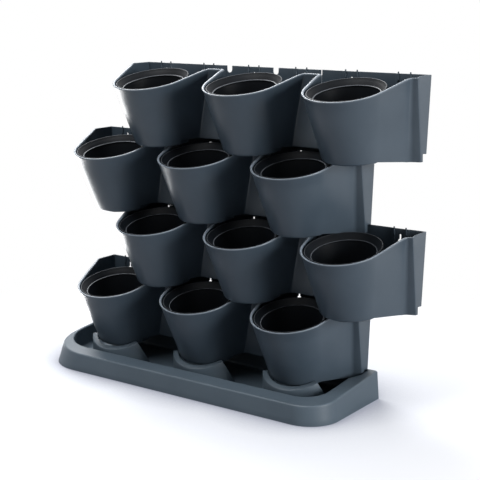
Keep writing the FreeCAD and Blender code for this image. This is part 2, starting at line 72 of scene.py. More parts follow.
def arc(middle: Flat, radius: float, start: float, finish: float, steps: int) -> list[Flat]:
    """Points of an arc.

    Args:
        middle: The arc's middle.
        radius: Its radius.
        start: Its first angle.
        finish: Its last angle.
        steps: How many steps it takes between them.

    Returns:
        One point more than there are steps.
    """
    angles = [mix(start, finish, index / steps) for index in range(steps + 1)]
    return [(middle[0] + radius * math.cos(angle), middle[1] + radius * math.sin(angle)) for angle in angles]


def quarter(steps: int) -> list[Flat]:
    """A quarter round in steps: how far it has come in, from 0 to 1, and how far it still has to rise."""
    angles = [math.pi / 2 * index / steps for index in range(steps + 1)]
    return [(1 - math.cos(angle), 1 - math.sin(angle)) for angle in angles]


def srgb(red: int, green: int, blue: int) -> Colour:
    """Linear colour with alpha from display values of 0 to 255."""
    linear = [((value / 255 + 0.055) / 1.055) ** 2.4 for value in (red, green, blue)]
    return (linear[0], linear[1], linear[2], 1.0)


def put(name: str, data: bpy.types.ID) -> bpy.types.Object:
    """Put a new object with its data into the scene.

    Args:
        name: The object's name.
        data: Its mesh, light or camera.

    Returns:
        The object, at the origin.
    """
    made = bpy.data.objects.new(name, data)
    bpy.context.scene.collection.objects.link(made)
    return made


def new_material(name: str) -> bpy.types.Material:
    """Make an empty node material."""
    made = bpy.data.materials.new(name)
    made.use_nodes = True
    return made


def add_node(tree: bpy.types.NodeTree, kind: str, settings: dict | None = None,
             inputs: dict | None = None) -> bpy.types.Node:
    """Add a node to a tree.

    Args:
        tree: The tree.
        kind: The node's type.
        settings: Its properties by name.
        inputs: Its inputs by name or number; a socket is linked and anything else is its value.

    Returns:
        The new node.
    """
    node = tree.nodes.new(kind)
    for label, value in (settings or {}).items():
        setattr(node, label, value)
    for label, value in (inputs or {}).items():
        if isinstance(value, bpy.types.NodeSocket):
            tree.links.new(value, node.inputs[label])
        else:
            node.inputs[label].default_value = value
    return node


def add_sockets(tree: bpy.types.NodeTree, way: str, sockets: dict[str, str]) -> None:
    """Give a node group its sockets.

    Args:
        tree: The group.
        way: INPUT or OUTPUT.
        sockets: The kind of each socket by its name.
    """
    for label, kind in sockets.items():
        tree.interface.new_socket(label, in_out=way, socket_type=f"NodeSocket{kind}")


def math_of(tree: bpy.types.NodeTree, kind: str, first: bpy.types.NodeSocket,
            second: bpy.types.NodeSocket | float) -> bpy.types.NodeSocket:
    """Add a Math node for two values.

    Args:
        tree: The tree.
        kind: The node's operation.
        first: Its first value.
        second: Its second value, a number or a socket.

    Returns:
        The node's output.
    """
    return add_node(tree, "ShaderNodeMath", {"operation": kind}, {0: first, 1: second}).outputs[0]


def plain_rays(tree: bpy.types.NodeTree) -> bpy.types.NodeSocket:
    """A value that is 1 for the camera, glossy and transmission rays, which see plain white."""
    path = add_node(tree, "ShaderNodeLightPath").outputs
    either = math_of(tree, "MAXIMUM", path["Is Camera Ray"], path["Is Glossy Ray"])
    return math_of(tree, "MAXIMUM", either, path["Is Transmission Ray"])


class MeshMaker:
    """Collects points in millimetres and faces, and turns them into one piece."""

    def __init__(self, place: Matrix | None = None) -> None:
        """Start empty.

        Args:
            place: Where the collected points stand, in millimetres.
        """
        self.points: list[Vector] = []
        self.faces: list[tuple[int, ...]] = []
        # Shares of painted highlight on the points, by point number.
        self.rim_highlights: dict[int, float] = {}
        self.place = place or Matrix.Identity(4)

    def point(self, x: float, y: float, z: float) -> int:
        """Add one point and return its number."""
        self.points.append(Vector((x, y, z)))
        return len(self.points) - 1

    def ring(self, places: list[Point]) -> list[int]:
        """Add several points and return their numbers."""
        return [self.point(*place) for place in places]

    def bridge(self, low: list[int], high: list[int], closed: bool = True) -> None:
        """Join two rows of as many points with quads, low to high.

        Args:
            low: Point numbers of the first row.
            high: Point numbers of the second row.
            closed: Whether the rows run round and meet.
        """
        count = len(low)
        for index in range(count if closed else count - 1):
            after = (index + 1) % count
            self.faces.append((low[index], low[after], high[after], high[index]))

    def cap(self, ring: list[int]) -> None:
        """Close a ring with one face."""
        self.faces.append(tuple(ring))

    def stack(self, rings: list[list[int]]) -> None:
        """Join rings in their order and close the first and the last one."""
        for below, above in zip(rings, rings[1:]):
            self.bridge(below, above)
        self.cap(rings[0][::-1])
        self.cap(rings[-1])

    def box(self, low: Point, high: Point, soft: float = 0.5) -> None:
        """Add a block with softened vertical and top edges.

        Args:
            low: Lowest corner.
            high: Highest corner.
            soft: Edge rounding.
        """
        rings = []
        for z, inset in ((low[2], soft), (low[2] + soft, 0.0), (high[2] - soft, 0.0), (high[2], soft)):
            x0, x1, y0, y1 = low[0] + inset, high[0] - inset, low[1] + inset, high[1] - inset
            cut = soft * 0.6
            rings.append(self.ring([
                (x0 + cut, y0, z), (x1 - cut, y0, z), (x1, y0 + cut, z), (x1, y1 - cut, z),
                (x1 - cut, y1, z), (x0 + cut, y1, z), (x0, y1 - cut, z), (x0, y0 + cut, z)]))
        self.stack(rings)

    def rod(self, x: float, y: float, radius: float, low: float, high: float, turns: int) -> None:
        """Add a round upright rod.

        Args:
            x: Its middle along X.
            y: Its middle along Y.
            radius: Its radius.
            low: Height of its foot.
            high: Height of its top.
            turns: How many sides it has.
        """
        circle = arc((x, y), radius, 0.0, math.tau, turns)[:-1]
        self.stack([self.ring([(*spot, z) for spot in circle]) for z in (low, high)])

    def build(self, name: str) -> bpy.types.Object:
        """Make the piece, in metres, with its place in its mesh.

        Args:
            name: The piece's name.

        Returns:
            The new object, at the origin.
        """
        mesh = bpy.data.meshes.new(name)
        placed = [self.place @ point for point in self.points]
        mesh.from_pydata([tuple(point * MM) for point in placed], [], self.faces)
        mesh.validate()
        work = bmesh.new()
        work.from_mesh(mesh)
        bmesh.ops.recalc_face_normals(work, faces=work.faces)
        work.to_mesh(mesh)
        work.free()
        # The marked points go into a rim layer that paints a highlight on them.
        if self.rim_highlights:
            highlight_layer = mesh.attributes.new("rim", "FLOAT", "POINT")
            for number, value in self.rim_highlights.items():
                highlight_layer.data[number].value = value
        piece = put(name, mesh)
        finish_shading(piece)
        return piece


def finish_shading(piece: bpy.types.Object) -> None:
    """Shade a piece smooth, with crisp edges where it turns sharply."""
    piece.data.shade_smooth()
    piece.data.set_sharp_from_angle(angle=SMOOTH_ANGLE)


def join_pieces(first: bpy.types.Object, others: list[bpy.types.Object]) -> bpy.types.Object:
    """Join finished pieces into the first one.

    Args:
        first: The piece that keeps its name.
        others: The pieces that go into it.

    Returns:
        The joined piece.
    """
    with bpy.context.temp_override(active_object=first, selected_editable_objects=[first] + others):
        bpy.ops.object.join()
    return first


def cut_away(piece: bpy.types.Object, cutter: bpy.types.Object) -> None:
    """Cut one piece out of another for good, and remove the cutter."""
    cut = piece.modifiers.new("cut", "BOOLEAN")
    cut.operation = "DIFFERENCE"
    cut.solver = "EXACT"
    cut.object = cutter
    apply_modifiers(piece)
    bpy.data.objects.remove(cutter)


def apply_modifiers(piece: bpy.types.Object) -> None:
    """Turn a piece's modifiers into plain mesh."""
    graph = bpy.context.evaluated_depsgraph_get()
    graph.update()
    mesh = bpy.data.meshes.new_from_object(piece.evaluated_get(graph), depsgraph=graph)
    piece.modifiers.clear()
    old = piece.data
    piece.data = mesh
    bpy.data.meshes.remove(old)


# Finishes


@dataclass(frozen=True)
class Plastic:
    """A moulded plastic finish.

    The grain is the fine texture of the mould; the mottle is the slight unevenness of colour
    and sheen that large mouldings have. The crests of the rolled rim beads carry a painted highlight:
    they are painted paler, by a share.
    """

    name: str
    colour: Colour
    pale: Colour
    roughness: float
    roughness_spread: float
    grain_scale: float
    grain_height: float
    mottle_scale: float
    scuff: float
    specular: float = 0.35
    # rim is the colour of the painted highlight on the crests of the rolled rim beads; the share after it
    # says how far it is painted in.
    rim: Colour = srgb(132, 141, 151)
    rim_highlight_share: float = 0.0
    grain_depth: float = 0.0002

    def material(self) -> bpy.types.Material:
        """Build the node material of this finish.

        Returns:
            The material, reading Object coordinates.
        """
        made = new_material(self.name)
        tree = made.node_tree
        place = add_node(tree, "ShaderNodeTexCoord")
        skin = add_node(tree, "ShaderNodeGroup", {"node_tree": moulded_skin_group()}, {
            "Place": place.outputs["Object"], "Colour": self.colour, "Pale Colour": self.pale,
            "Roughness": self.roughness, "Roughness Spread": self.roughness_spread,
            "Grain Scale": self.grain_scale, "Mottle Scale": self.mottle_scale, "Scuff": self.scuff})
        bump = add_node(tree, "ShaderNodeBump", inputs={
            "Strength": self.grain_height, "Distance": self.grain_depth, "Height": skin.outputs["Height"]})
        # Painted highlight: points that the rim layer marks are painted towards the pale rim colour.
        painted_highlight = add_node(tree, "ShaderNodeAttribute", {"attribute_name": "rim"})
        highlighted = add_node(tree, "ShaderNodeMix", {"data_type": "RGBA"}, {
            "Factor": math_of(tree, "MULTIPLY", painted_highlight.outputs["Fac"], self.rim_highlight_share),
            "A": skin.outputs["Colour"], "B": self.rim})
        shader = tree.nodes["Principled BSDF"]
        shader.inputs["Specular IOR Level"].default_value = self.specular
        tree.links.new(highlighted.outputs["Result"], shader.inputs["Base Color"])
        tree.links.new(skin.outputs["Roughness"], shader.inputs["Roughness"])
        tree.links.new(bump.outputs["Normal"], shader.inputs["Normal"])
        return made


# The rows' beads get the painted highlight on their crests at this share.
ANTHRACITE = Plastic(
    "anthracite_row", srgb(58, 69, 79), srgb(66, 77, 87), roughness=0.36, roughness_spread=0.06,
    grain_scale=900.0, grain_height=0.3, mottle_scale=14.0, scuff=0.25, rim_highlight_share=0.85)
# The tray's anthracite is its own colour painted somewhat lighter than the rows': painted light for the
# extra light its leaning front catches.
ANTHRACITE_TRAY_PAINTED_LIGHTER = Plastic(
    "anthracite_tray_painted_lighter", srgb(68, 80, 90), srgb(77, 89, 99), roughness=0.42, roughness_spread=0.06,
    grain_scale=900.0, grain_height=0.4, mottle_scale=11.0, scuff=0.3)
# The insert's rim colour is a painted highlight on its rim crest and ledge.
BLACK_INSERT = Plastic(
    "black_insert", srgb(12, 15, 19), srgb(18, 22, 27), roughness=0.5, roughness_spread=0.08,
    grain_scale=800.0, grain_height=0.5, mottle_scale=30.0, scuff=0.3, specular=0.12,
    rim=srgb(110, 115, 122), rim_highlight_share=0.6)


def moulded_skin_group() -> bpy.types.NodeTree:
    """The shared skin of moulded plastic: mottle, fine mould grain and faint scuffs.

    Returns:
        The shader node group, made once.
    """
    name = "moulded_skin"
    if name in bpy.data.node_groups:
        return bpy.data.node_groups[name]
    group = bpy.data.node_groups.new(name, "ShaderNodeTree")
    add_sockets(group, "INPUT", {
        "Place": "Vector", "Colour": "Color", "Pale Colour": "Color", "Roughness": "Float",
        "Roughness Spread": "Float", "Grain Scale": "Float", "Mottle Scale": "Float", "Scuff": "Float"})
    add_sockets(group, "OUTPUT", {"Colour": "Color", "Roughness": "Float", "Height": "Float"})
    given = add_node(group, "NodeGroupInput").outputs
    noises = [add_node(group, "ShaderNodeTexNoise", inputs={
        "Vector": given["Place"], "Scale": given[scale], "Detail": detail, "Roughness": rough})
        for scale, detail, rough in (("Mottle Scale", 4.0, 0.55), ("Grain Scale", 2.0, 0.6))]
    mottle, grain = (noise.outputs["Fac"] for noise in noises)
    upright = add_node(group, "ShaderNodeMapping", inputs={
        "Vector": given["Place"], "Scale": (1.0, 1.0, 0.12)})
    scratches = add_node(group, "ShaderNodeTexNoise", inputs={
        "Vector": upright.outputs["Vector"], "Scale": 260.0, "Detail": 3.0})
    scratch_mask = add_node(group, "ShaderNodeMapRange", inputs={
        "Value": scratches.outputs["Fac"], "From Min": 0.62, "From Max": 0.8})
    mottle_mask = add_node(group, "ShaderNodeMapRange", inputs={
        "Value": mottle, "From Min": 0.35, "From Max": 0.7})
    scuffed = math_of(group, "MULTIPLY", scratch_mask.outputs[0], given["Scuff"])
    pale_share = math_of(group, "ADD", math_of(group, "MULTIPLY", mottle_mask.outputs[0], 0.7), scuffed)
    colour = add_node(group, "ShaderNodeMix", {"data_type": "RGBA"}, {
        "Factor": pale_share, "A": given["Colour"], "B": given["Pale Colour"]})
    spread = math_of(group, "MULTIPLY", math_of(group, "SUBTRACT", mottle, 0.5), given["Roughness Spread"])
    rough = math_of(group, "ADD", math_of(group, "ADD", given["Roughness"], spread),
                    math_of(group, "MULTIPLY", scuffed, 0.15))
    height = math_of(group, "ADD", grain, math_of(group, "MULTIPLY", scuffed, -0.3))
    add_node(group, "NodeGroupOutput", inputs={
        "Colour": colour.outputs["Result"], "Roughness": rough, "Height": height})
    return group


def dress(piece: bpy.types.Object, material: bpy.types.Material, body: str, node: str) -> None:
    """Give a piece its shading and material, and let it stand for its CAD node on its body.

    Args:
        piece: The finished piece.
        material: Its material.
        body: The body that it rides on.
        node: The CAD node that it replaces.
    """
    finish_shading(piece)
    piece.data.materials.clear()
    piece.data.materials.append(material)
    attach(piece, body)
    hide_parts(node)
    log.info("%s: %d faces", piece.name, len(piece.data.polygons))


# The moulded rows


@dataclass(frozen=True)
class Station:
    """One vertical line of a row's wall.

    It stands at one place at the mouth and at another at the foot of the draft. Its rim can carry a
    bead, it can belong to one of the three round feet or to a sharp corner, the wall's top can be cut
    down there, and its skin can hang on below the underside as a hem.
    """

    mouth: Flat
    foot: Flat
    bead: float
    cup: int = 0
    corner: int = 0
    hem: float = 0.0
    lift: float = 0.0
    notch: float = 0.0


@dataclass(frozen=True)
class RowPlan:
    """Sizes of a moulded row, in its own frame.

    X runs from its middle, Y from the wall's back and Z from the wall's top. The walls' directions
    are taken at the facing level, and the round feet have their plan at the cup level.
    """

    pitch: float = 190.0
    left: float = 280.0
    right: float = 282.0
    wall: float = 2.0
    end_draft: float = 5.0
    left_corner: Flat = (-280.0, -47.0)
    left_corner_foot: Flat = (-275.0, -16.0)
    valley: Flat = (272.0, -47.5)
    valley_foot: Flat = (260.5, -21.8)
    ridge: Flat = (282.0, -46.0)
    ridge_foot: Flat = (276.5, -15.6)
    web_depth: float = 50.0
    web_half: float = 13.0
    web_half_foot: float = 37.0
    hem_low: float = 7.0
    hem_corner: float = 12.3
    hem_return: float = 0.38
    side_skirt: float = 16.0
    mouth_radius: float = 72.2
    mouth_reach: float = 108.7
    foot_radius: float = 51.3
    foot_reach: float = 65.9
    depth: float = 140.0
    facing_level: float = -20.0
    cup_level: float = -130.0
    rim_start: float = 36.0
    rim_bend: float = 62.0
    rim_bend_drop: float = 5.6
    rim_slope: float = math.tan(math.radians(15.6))
    underside: float = 122.0
    wall_foot: float = 122.7
    floor_skin: float = 2.5
    cup_step: float = 62.0
    cup_top: float = 127.7
    cup_slope: float = math.tan(math.radians(7.0))
    cup_round: float = 3.4
    edge_round: float = 0.7
    inner_round: float = 1.5
    end_step: float = 0.8
    hem_step: float = 0.6
    plain_round: float = 0.7
    plain_drop: float = 0.9
    bead_drop: float = 0.4
    bead_width: float = 4.0
    bead_height: float = 4.4
    bead_square: float = 0.75
    left_bead: float = 0.6
    left_end_bead: float = 0.25
    valley_bead: float = 0.5
    ridge_bead: float = 0.4
    right_end_bead: float = 0.3
    lip: float = 0.9
    boss_rise: float = 1.2
    boss_half: float = 12.5
    boss_slope: float = 5.0
    rib_gap: float = 21.3
    rib_pitch: float = 95.0
    rib_pairs: int = 6
    rib_width: float = 2.5
    rib_front: float = 5.2
    rib_root: float = 2.6
    rib_tip_back: float = 3.6
    rib_tip: float = 2.9
    rib_tip_length: float = 14.0
    rib_foot: float = 8.0
    rib_break: float = 0.3
    notch_width: float = 11.3
    notch_depth: float = 11.7
    notch_places: Flat = (-100.0, -4.5)
    mark_near: float = 6.0
    mark_far: float = 32.0
    mark_clear: float = 1.5
    mark_gap: float = 0.05
    slit_place: float = 84.5
    slit_width: float = 1.4
    slit_depth: float = 9.0
    key_width: float = 3.4
    key_top: float = 8.8
    key_drop: float = 21.0
    key_radius: float = 4.3
    cut_front: float = 9.0
    cut_rear: float = 3.0
    drain_ring: float = 22.0
    drain_reach: float = 84.7
    drain_radius: float = 4.0
    drain_low: float = -142.0
    drain_high: float = -110.0
    skirt_inset: float = 14.0
    skirt_slot_half: float = 11.0
    skirt_front: float = 8.0
    skirt_rear: float = 6.0
    skirt_hang: float = 11.5
    skirt_root: float = 1.2
    hook_reach: float = 6.0
    hook_width: float = 2.0
    hook_low: float = 4.5
    hook_high: float = 1.5
    arc_steps: int = 44
    flare_steps: int = 5
    corner_radius: float = 2.2
    crisp_radius: float = 1.2
    valley_radius: float = 5.0

    def rim(self, y: float) -> float:
        """Height of the pots' rim above a depth from the wall."""
        if y > -self.rim_start:
            return 0.0
        if y > -self.rim_bend:
            return -self.rim_bend_drop * (-self.rim_start - y) / (self.rim_bend - self.rim_start)
        return -self.rim_bend_drop - (-self.rim_bend - y) * self.rim_slope

    def cup_floor(self, y: float) -> float:
        """Height of the underside of the pots' feet above a depth from the wall."""
        return -self.cup_top - (-self.cup_step - y) * self.cup_slope

    def pair_places(self) -> list[float]:
        """Middles of the pairs of ribs along the wall."""
        return [(pair - (self.rib_pairs - 1) / 2) * self.rib_pitch for pair in range(self.rib_pairs)]

    def boss(self, x: float) -> float:
        """How far the wall stands forward at a place along it, for the fields round the pairs of ribs."""
        away = min(abs(x - place) for place in self.pair_places())
        share = min(1.0, max(0.0, (self.boss_half + self.boss_slope - away) / self.boss_slope))
        return self.boss_rise * share * share * (3 - 2 * share)


def rounded(before: Flat, corner: Flat, after: Flat, radius: float, steps: int = 4) -> list[Flat]:
    """Points of a rounded corner between two straight runs.

    Args:
        before: A point on the run that arrives.
        corner: The sharp corner.
        after: A point on the run that leaves.
        radius: How far from the corner the rounding starts.
        steps: How many points it gets.

    Returns:
        Points from the arriving run to the leaving one.
    """
    here = Vector(corner)
    back = Vector(before) - here
    ahead = Vector(after) - here
    start = here + back.normalized() * min(radius, back.length * 0.4)
    end = here + ahead.normalized() * min(radius, ahead.length * 0.4)
    points = []
    for index in range(steps):
        share = index / (steps - 1)
        spot = start * (1 - share) ** 2 + here * 2 * share * (1 - share) + end * share ** 2
        points.append((spot.x, spot.y))
    return points


class RowMoulding:
    """One moulded row: the wall channel with three flared pots, in one piece.

    Every station's section has as many points; those of the rim's bead begin at bead_start.
    """

    bead_start = 12
    bead_steps = 10

    def __init__(self, plan: RowPlan, node: str) -> None:
        """Take the row's place from its CAD node.

        Args:
            plan: The row's sizes.
            node: The CAD node that the moulding replaces.
        """
        _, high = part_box(node)
        self.plan = plan
        self.node = node
        self.middle = high.x / MM - plan.right
        self.back = high.y / MM
        self.level = high.z / MM - plan.rib_tip
        self.place = Matrix.Translation((self.middle, self.back, self.level))

    def pot_line(self, step: int, foot: bool) -> tuple[list[Flat], list[Flat], list[Flat]]:
        """Plan of one pot at the mouth or foot level.

        Args:
            step: -1, 0 or 1 for the left, middle or right pot.
            foot: Whether the section is at the foot of the draft.

        Returns:
            The left flare's points, the round front's and the right flare's.
        """
        plan = self.plan
        centre = step * plan.pitch
        radius = plan.foot_radius if foot else plan.mouth_radius
        middle = Vector((centre, -(plan.foot_reach if foot else plan.mouth_reach)))
        web = plan.web_half_foot if foot else plan.web_half
        half = plan.pitch / 2 - web
        left = Vector((centre - half, -plan.web_depth))
        right = Vector((centre + half, -plan.web_depth))
        if step < 0:
            left = Vector(plan.left_corner_foot if foot else plan.left_corner)
        if step > 0:
            right = Vector(plan.valley_foot if foot else plan.valley)
        angles = []
        for corner, side in ((left, 1), (right, -1)):
            away = corner - middle
            angles.append(math.atan2(away.y, away.x) + side * math.acos(radius / away.length))
        start, finish = angles
        while finish < start:
            finish += math.tau
        front = arc(tuple(middle), radius, start, finish, plan.arc_steps)
        steps = plan.flare_steps
        first, last = Vector(front[0]), Vector(front[-1])
        left_flare = [tuple(left.lerp(first, index / steps)) for index in range(steps)]
        right_flare = [tuple(last.lerp(right, index / steps)) for index in range(1, steps + 1)]
        return left_flare, front, right_flare

    def stations(self) -> list[Station]:
        """Every vertical line of the row's wall, round it counter-clockwise from the rear left corner."""
        mouth, foot = self.walk(False), self.walk(True)
        stations = [replace(station, foot=below.mouth) for station, below in zip(mouth, foot)]
        plan = self.plan
        for x, notch in self.wall_marks():
            share = (x + plan.left) / (plan.left + plan.right)
            foot_x = mix(-plan.left + plan.end_draft, plan.right - plan.end_draft, share)
            forward = -plan.boss(x)
            stations.append(Station((x, forward), (x if notch else foot_x, forward), 0.0, notch=notch))
        return stations

    def walk(self, foot: bool) -> list[Station]:
        """The stations of the ends and pots at one level, from the rear left corner to the rear right one.

        Args:
            foot: Whether the level is the foot of the draft.

        Returns:
            Stations with their place at this level; both levels have as many.
        """
        plan = self.plan
        draft = plan.end_draft if foot else 0.0
        left_x, right_x = draft - plan.left, plan.right - draft
        corner = Vector(plan.left_corner_foot if foot else plan.left_corner)
        ridge = Vector(plan.ridge_foot if foot else plan.ridge)
        line: list[Station] = []

        def add(spot: Flat | Vector, bead: float, **more: float) -> None:
            """Put one more station on the line."""
            line.append(Station((spot[0], spot[1]), (0.0, 0.0), bead, **more))

        add((left_x, -plan.end_step), 0.0)
        for share in (0.25, 1.0 - plan.hem_return - 0.01, 1.0 - plan.hem_return, 0.85):
            spot = Vector((left_x, 0.0)).lerp(corner, share)
            hem = plan.hem_corner if share >= 1.0 - plan.hem_return else 0.0
            add(spot, plan.left_end_bead * share, hem=hem, lift=-plan.rim(spot.y))
        pots = [self.pot_line(step, foot) for step in (-1, 0, 1)]
        for index, (left_flare, front, right_flare) in enumerate(pots):
            first, last = index == 0, index == 2
            before = (left_x, 0.0) if first else pots[index - 1][2][-1]
            radius = plan.crisp_radius if first else plan.corner_radius
            lift = -plan.rim(left_flare[0][1]) if first else 0.0
            for spot in rounded(before, left_flare[0], left_flare[1], radius):
                add(spot, plan.left_bead if first else 1.0, corner=2 * index + 1,
                    hem=plan.hem_corner if first else 0.0, lift=lift)
            for step, spot in enumerate(left_flare[1:]):
                share = (step + 1) / plan.flare_steps
                straight = plan.rim(front[0][1]) * share - plan.rim(spot[1])
                add(spot, 1.0, hem=mix(plan.hem_corner, plan.hem_low, share) if first else 0.0,
                    lift=straight if first else 0.0)
            add(front[0], 1.0, hem=plan.hem_low if first else 0.0)
            for spot in front[1:-1]:
                add(spot, 1.0, cup=index + 1)
            add(front[-1], 1.0, hem=plan.hem_low if last else 0.0)
            for step, spot in enumerate(right_flare[:-1]):
                share = (step + 1) / plan.flare_steps
                add(spot, 1.0, hem=mix(plan.hem_low, plan.hem_corner, share) if last else 0.0)
            if last:
                continue
            after = pots[index + 1][0][0]
            for spot in rounded(right_flare[-2], right_flare[-1], after, plan.corner_radius):
                add(spot, 1.0, corner=2 * index + 2)
            for share in (0.33, 0.67):
                add(Vector(right_flare[-1]).lerp(Vector(after), share), 1.0)
        valley = pots[2][2][-1]
        for index, spot in enumerate(rounded(pots[2][2][-2], valley, ridge, plan.valley_radius, 7)):
            add(spot, mix(1.0, plan.valley_bead, index / 6), hem=plan.hem_corner)
        for spot in rounded(valley, ridge, (right_x, 0.0), plan.crisp_radius):
            add(spot, plan.ridge_bead, corner=7, hem=plan.hem_corner)
        for share in (0.15, plan.hem_return, plan.hem_return + 0.01, 0.75):
            add(ridge.lerp(Vector((right_x, 0.0)), share), plan.right_end_bead * (1.0 - share),
                hem=plan.hem_corner if share <= plan.hem_return else 0.0)
        add((right_x, -plan.end_step), 0.0)
        return line

    def wall_marks(self) -> list[tuple[float, float]]:
        """Where the back wall gets a line, from right to left, with how far its top is cut down there."""
        plan = self.plan
        slope = [plan.boss_half + plan.boss_slope * share for share in (0.0, 0.33, 0.67, 1.0)]
        places = {place + side * step for place in plan.pair_places() for side in (-1, 1)
                  for step in (plan.mark_near, *slope, plan.mark_far)}
        marks = [(place, 0.0) for place in places]
        half = plan.notch_width / 2
        for centre in plan.notch_places:
            marks = [mark for mark in marks if abs(mark[0] - centre) > half + plan.mark_clear]
            marks += [(centre + side * (half + plan.mark_gap), 0.0) for side in (-1, 1)]
            marks += arc((centre, plan.notch_depth - half), half, math.pi, 0.0, 8)
        slit = plan.slit_width / 2
        marks = [mark for mark in marks if abs(mark[0] - plan.slit_place) > slit + plan.mark_clear]
        for side in (-1, 1):
            marks.append((plan.slit_place + side * (slit + plan.mark_gap), 0.0))
            marks.append((plan.slit_place + side * slit, plan.slit_depth))
        marks += [(plan.right - plan.end_step, 0.0), (-plan.left + plan.end_step, 0.0)]
        return sorted(marks, reverse=True)

    def at(self, station: Station, z: float) -> Vector:
        """Where a station stands in plan at a height."""
        share = -z / self.plan.depth
        return Vector([mix(mouth, foot, share) for mouth, foot in zip(station.mouth, station.foot)])

    def top(self, station: Station) -> float:
        """Height of the rim at a station."""
        height = 0.0
        for _ in range(8):
            height = self.plan.rim(self.at(station, height).y)
        return height + station.lift - station.notch

    def shell(self) -> bpy.types.Object:
        """The moulding's own shell: its walls with the rolled rim, and its floor and feet.

        Returns:
            The closed shell as a piece.
        """
        plan = self.plan
        stations = self.stations()
        maker = MeshMaker(self.place)
        count = len(stations)
        mouths = [self.at(station, plan.facing_level) for station in stations]
        sides = []
        for index in range(count):
            along = mouths[(index + 1) % count] - mouths[index]
            sides.append(Vector((along.y, -along.x)).normalized())
        normals = [(sides[index - 1] + sides[index]).normalized() for index in range(count)]
        for corner in {station.corner for station in stations if station.corner}:
            members = [index for index, station in enumerate(stations) if station.corner == corner]
            before, after = sides[members[0] - 1], sides[members[-1]]
            for index in members:
                normals[index] = (before + after) / (1.0 + before.dot(after))
        columns = [self.column(station, normal) for station, normal in zip(stations, normals)]
        rows = len(columns[0])
        numbers = [[maker.point(*column[row]) for column in columns] for row in range(rows)]
        # Mark the bead's crest for the painted highlight, strongest at its top.
        for step in range(1, self.bead_steps):
            for number, station in zip(numbers[self.bead_start + step], stations):
                maker.rim_highlights[number] = station.bead * math.sin(math.pi * step / self.bead_steps)
        for below, above in zip(numbers, numbers[1:]):
            maker.bridge(below, above)
        self.close_below(maker, stations, numbers[0], outside=True)
        self.close_below(maker, stations, numbers[-1], outside=False)
        return maker.build(f"{self.node}_moulding")

    def column(self, station: Station, normal: Vector) -> list[Point]:
        """One station's section, from its outer foot over the rim to its inner floor.

        Args:
            station: The station.
            normal: The wall's outward direction in plan there.

        Returns:
            Points of the section; every station has as many.
        """
        plan = self.plan
        bead = station.bead
        top = self.top(station)
        foot = -plan.underside
        floor = foot + plan.floor_skin
        soft = plan.edge_round
        if station.cup:
            foot = plan.cup_floor(self.at(station, plan.cup_level).y)
            floor = foot + plan.floor_skin
            soft = plan.cup_round
        if bead == 0.0:
            foot = -plan.wall_foot
        skin = plan.lip * bead
        hem = skin + max(plan.wall, soft + plan.hem_step)
        section: list[Flat] = [(hem + plan.hem_step, foot), (hem, foot - station.hem)]
        foot -= station.hem
        section += [(skin + soft * upward, foot + soft * inward) for inward, upward in quarter(4)]
        body_top = top - mix(plan.plain_drop, plan.bead_height + plan.bead_drop, bead)
        section += [(skin, mix(foot + soft, body_top, share)) for share in (0.2, 0.4, 0.6, 0.8, 1.0)]
        half = mix(plan.wall, plan.bead_width, bead) / 2
        tall = mix(plan.plain_round, plan.bead_height / 2, bead)
        for index in range(self.bead_steps + 1):
            angle = math.pi * index / self.bead_steps
            across = half * (1 - math.copysign(abs(math.cos(angle)) ** plan.bead_square, math.cos(angle)))
            at_edge = index in (0, self.bead_steps)
            section.append((across, top - tall + tall * (
                -0.25 if at_edge else math.sin(angle) ** plan.bead_square)))
        inner = skin + plan.wall
        section.append((inner, body_top))
        section += [(inner, mix(body_top, floor + plan.inner_round, share))
                    for share in (0.25, 0.5, 0.75, 1.0)]
        section.append((inner + plan.inner_round, floor))
        points = []
        for inset, height in section:
            spot = self.at(station, height) - normal * inset
            points.append((spot.x, spot.y, height))
        return points

    def close_below(self, maker: MeshMaker, stations: list[Station], ring: list[int], outside: bool) -> None:
        """Close the shell's outer underside or its inner floor, with the pots' round feet lower.

        Args:
            maker: The mesh being made.
            stations: The shell's stations.
            ring: The lowest points of the outer or inner wall.
            outside: Whether this is the underside.
        """
        plan = self.plan
        lift = 0.0 if outside else plan.floor_skin
        flat = -plan.underside + lift
        main: list[int] = []
        index = 0
        count = len(stations)
        while index < count:
            if not stations[index].cup:
                main.append(ring[index])
                index += 1
                continue
            cup = stations[index].cup
            front = []
            while index < count and stations[index].cup == cup:
                front.append(ring[index])
                index += 1
            first, last = main[-1], ring[index]
            inset = plan.cup_round + 2 * plan.hem_step if outside else plan.wall + plan.inner_round
            share = -plan.cup_level / plan.depth
            radius = mix(plan.mouth_radius, plan.foot_radius, share) - plan.lip - inset
            middle = ((cup - 2) * plan.pitch, -mix(plan.mouth_reach, plan.foot_reach, share))
            half = math.sqrt(radius ** 2 - (middle[1] + plan.cup_step) ** 2)
            begin = math.atan2(maker.points[first].y - middle[1], maker.points[first].x - middle[0])
            end = math.atan2(-plan.cup_step - middle[1], -half)
            left_side = arc(middle, radius, begin % math.tau, end % math.tau, 4)
            right_side = [(2 * middle[0] - x, y) for x, y in reversed(left_side)]
            (low_x, rear_y), (high_x, _) = left_side[-1], right_side[0]
            path = left_side + [(mix(low_x, high_x, step / 6), rear_y) for step in range(1, 6)] + right_side
            upper = [first] + maker.ring([(x, y, flat) for x, y in path[1:-1]]) + [last]
            lower = maker.ring([(x, y, plan.cup_floor(y) + lift) for x, y in path])
            maker.bridge(upper, lower, closed=False)
            maker.faces.append((first, lower[0], front[0]))
            maker.faces.append((last, front[-1], lower[-1]))
            maker.cap(lower + front[::-1])
            main += upper[1:-1]
        maker.cap(main)

